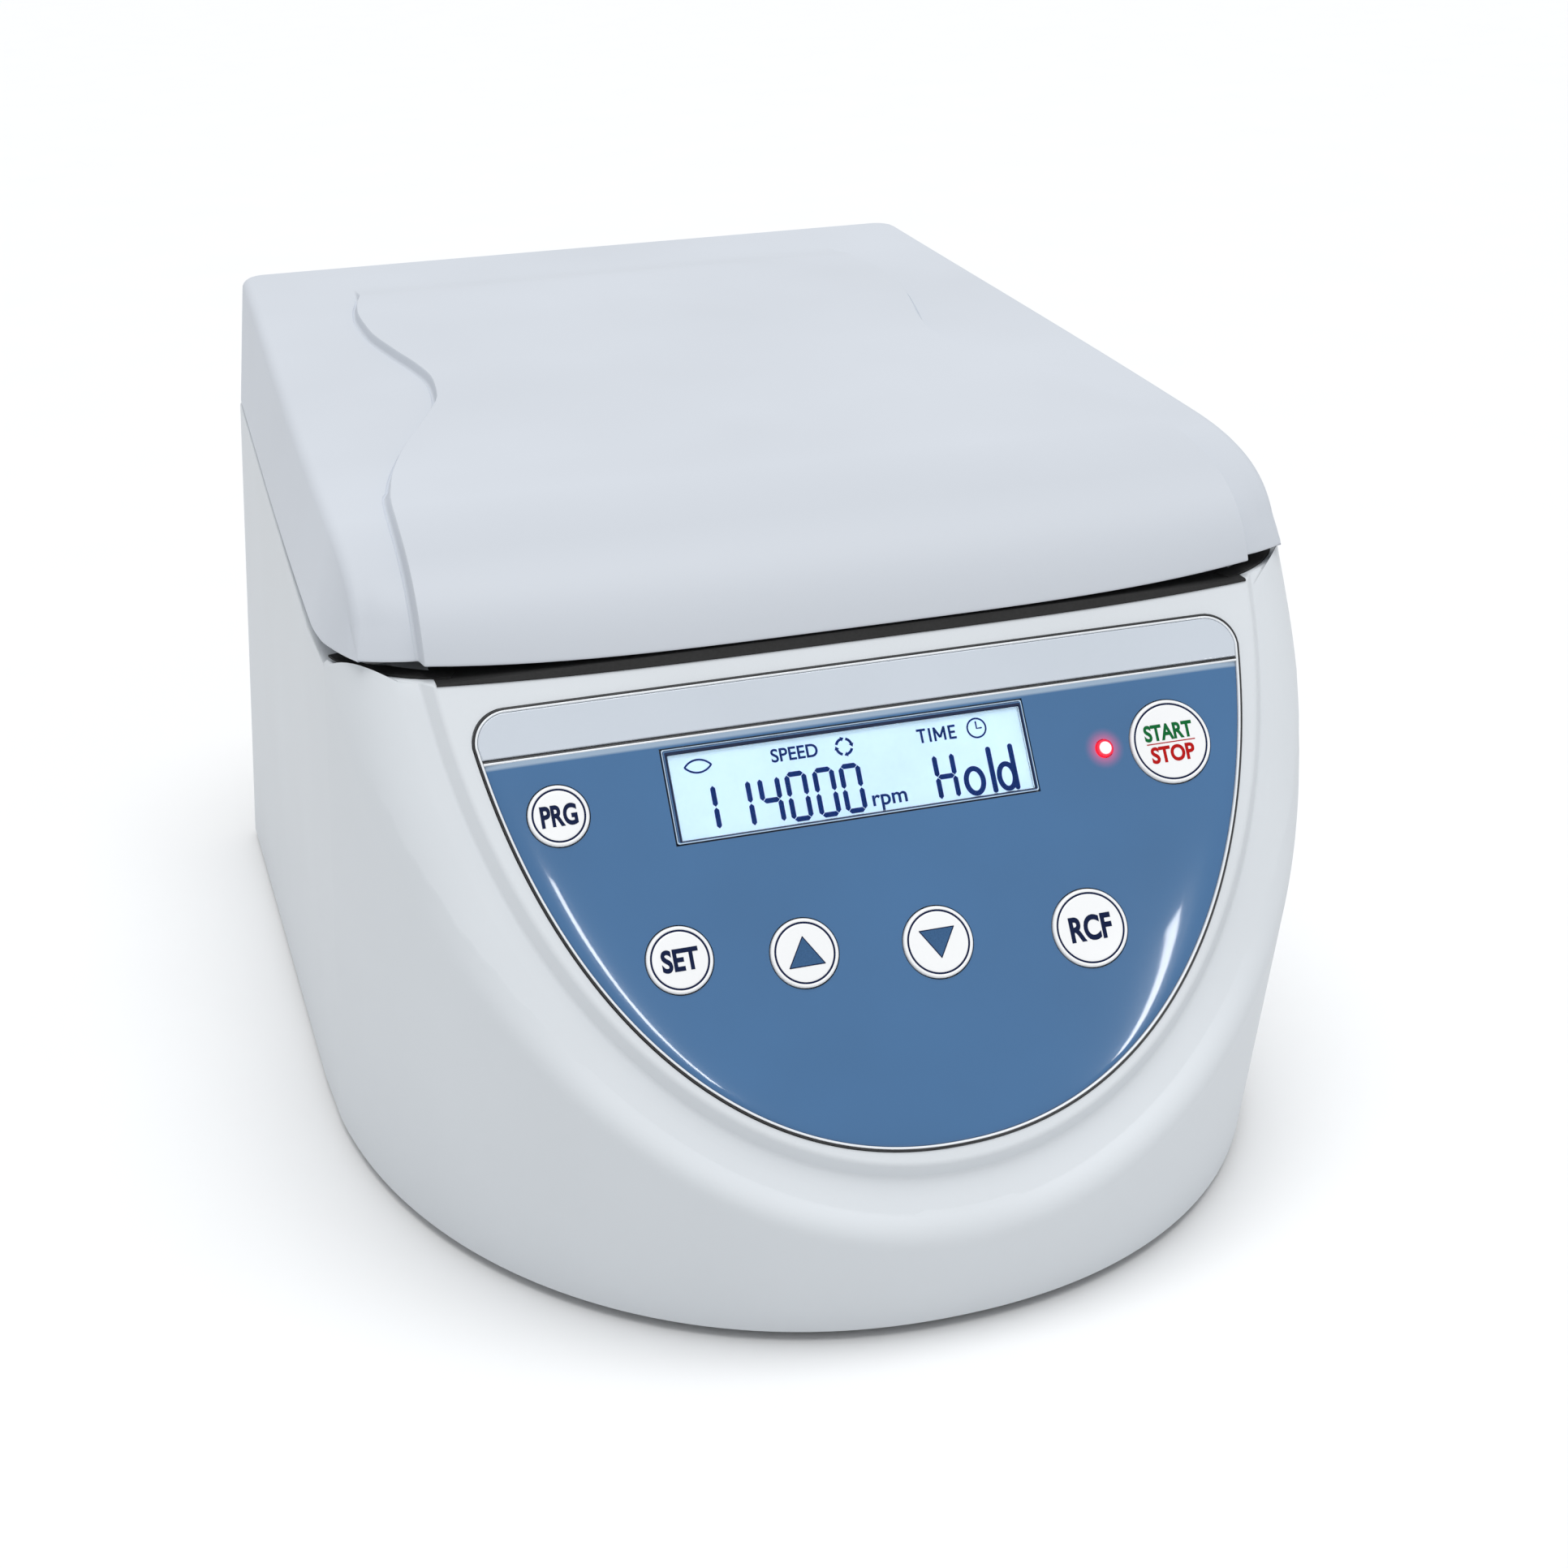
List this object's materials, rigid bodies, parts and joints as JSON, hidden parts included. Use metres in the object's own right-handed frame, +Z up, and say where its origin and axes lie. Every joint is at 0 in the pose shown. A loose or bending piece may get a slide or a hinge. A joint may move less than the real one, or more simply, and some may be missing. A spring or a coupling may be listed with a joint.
{
  "type": "low-speed centrifuge",
  "caption": "Bench centrifuge with a hinged sloping lid, a fixed-angle rotor in a round chamber and a bowed inclined control panel with display and keys.",
  "frame": {"origin": "centre of the footprint, on the surface that the feet stand on", "axes": "+Z up, the control panel faces -Y, +X to the right seen from the front"},
  "size_m": [0.2654, 0.3812, 0.1988],
  "materials": {
    "housing_plastic": "semi-matte light grey moulding",
    "lid_plastic": "semi-matte light grey moulding",
    "liner_plastic": "matte grey",
    "panel_film": "glossy blue film",
    "strip_film": "satin silver film",
    "button_plastic": "satin white",
    "frame_plastic": "glossy dark navy",
    "window_clear": "clear",
    "display_blue": "lit pale blue",
    "lamp_red": "lit red",
    "board_green": "green solder mask",
    "black_rubber": "matte black",
    "grey_rubber": "matte light grey",
    "bright_steel": "brushed",
    "dark_steel": "dark grey",
    "aluminium": "satin",
    "black_plastic": "matte black"
  },
  "bodies": {
    "base": {"housing": "housing_plastic", "control_overlay": "panel_film", "trim_strip": "strip_film", "display_frame": "frame_plastic", "display_window": "window_clear", "display_module": "display_blue", "led_indicator": "lamp_red", "control_board": "board_green", "power_board": "board_green", "chamber_gasket": "black_rubber", "front_seal": "black_rubber", "lid_buffer_left": "grey_rubber", "lid_buffer_right": "grey_rubber", "chamber_bowl": "bright_steel", "motor": "dark_steel", "motor_carrier": "aluminium", "motor_damper_1": "black_rubber", "motor_damper_2": "black_rubber", "motor_damper_3": "black_rubber", "spindle_seal": "black_rubber", "base_plate": "dark_steel", "foot_front_left": "black_rubber", "foot_front_right": "black_rubber", "foot_rear_left": "black_rubber", "foot_rear_right": "black_rubber", "rear_panel": "dark_steel", "power_inlet": "black_plastic", "inlet_pin_line": "bright_steel", "inlet_pin_neutral": "bright_steel", "inlet_pin_earth": "bright_steel", "mains_switch_frame": "black_plastic", "hinge_bracket_left": "bright_steel", "hinge_bracket_right": "bright_steel", "hinge_rod": "bright_steel", "lock_solenoid": "dark_steel"},
    "lid": {"lid_shell": "lid_plastic", "lid_liner": "liner_plastic", "lid_hinge_arm_left": "bright_steel", "lid_hinge_arm_right": "bright_steel", "lock_striker": "bright_steel"},
    "rotor": {"rotor": "aluminium", "rotor_spindle": "bright_steel"},
    "rotor_nut": {"rotor_nut": "dark_steel"},
    "lock_bolt": {"lock_bolt": "bright_steel"},
    "mains_rocker": {"mains_rocker": "black_plastic"},
    "button_program": {"button_program": "button_plastic"},
    "button_set": {"button_set": "button_plastic"},
    "button_up": {"button_up": "button_plastic"},
    "button_down": {"button_down": "button_plastic"},
    "button_rcf": {"button_rcf": "button_plastic"},
    "button_start_stop": {"button_start_stop": "button_plastic"}
  },
  "joints": [
    {"name": "lid_hinge", "type": "hinge", "parent": "base", "child": "lid", "pos_m": [0, 0.18265, 0.1666], "axis": [-1, 0, 0], "range_deg": [0, 80]},
    {"name": "rotor_spin", "type": "hinge", "parent": "base", "child": "rotor", "pos_m": [0, 0.05064, 0.097], "axis": [0, 0, 1], "continuous": true},
    {"name": "rotor_nut_turn", "type": "hinge", "parent": "rotor", "child": "rotor_nut", "pos_m": [0, 0.05064, 0.119], "axis": [0, 0, 1], "continuous": true},
    {"name": "button_program_press", "type": "slide", "parent": "base", "child": "button_program", "axis": [0, 0.8406, -0.5417], "range_m": [0, 0.0006], "stiffness_N_per_m": 1500},
    {"name": "button_set_press", "type": "slide", "parent": "base", "child": "button_set", "axis": [0, 0.8406, -0.5417], "range_m": [0, 0.0006], "stiffness_N_per_m": 1500},
    {"name": "button_up_press", "type": "slide", "parent": "base", "child": "button_up", "axis": [0, 0.8406, -0.5417], "range_m": [0, 0.0006], "stiffness_N_per_m": 1500},
    {"name": "button_down_press", "type": "slide", "parent": "base", "child": "button_down", "axis": [0, 0.8406, -0.5417], "range_m": [0, 0.0006], "stiffness_N_per_m": 1500},
    {"name": "button_rcf_press", "type": "slide", "parent": "base", "child": "button_rcf", "axis": [0, 0.8406, -0.5417], "range_m": [0, 0.0006], "stiffness_N_per_m": 1500},
    {"name": "button_start_stop_press", "type": "slide", "parent": "base", "child": "button_start_stop", "axis": [0, 0.8406, -0.5417], "range_m": [0, 0.0006], "stiffness_N_per_m": 1500},
    {"name": "lock_bolt_slide", "type": "slide", "parent": "base", "child": "lock_bolt", "axis": [-1, 0, 0], "range_m": [0, 0.008], "stiffness_N_per_m": 150},
    {"name": "mains_rocker_tilt", "type": "hinge", "parent": "base", "child": "mains_rocker", "pos_m": [0.024, 0.18315, 0.052], "axis": [-1, 0, 0], "range_deg": [0, 18]}
  ]
}
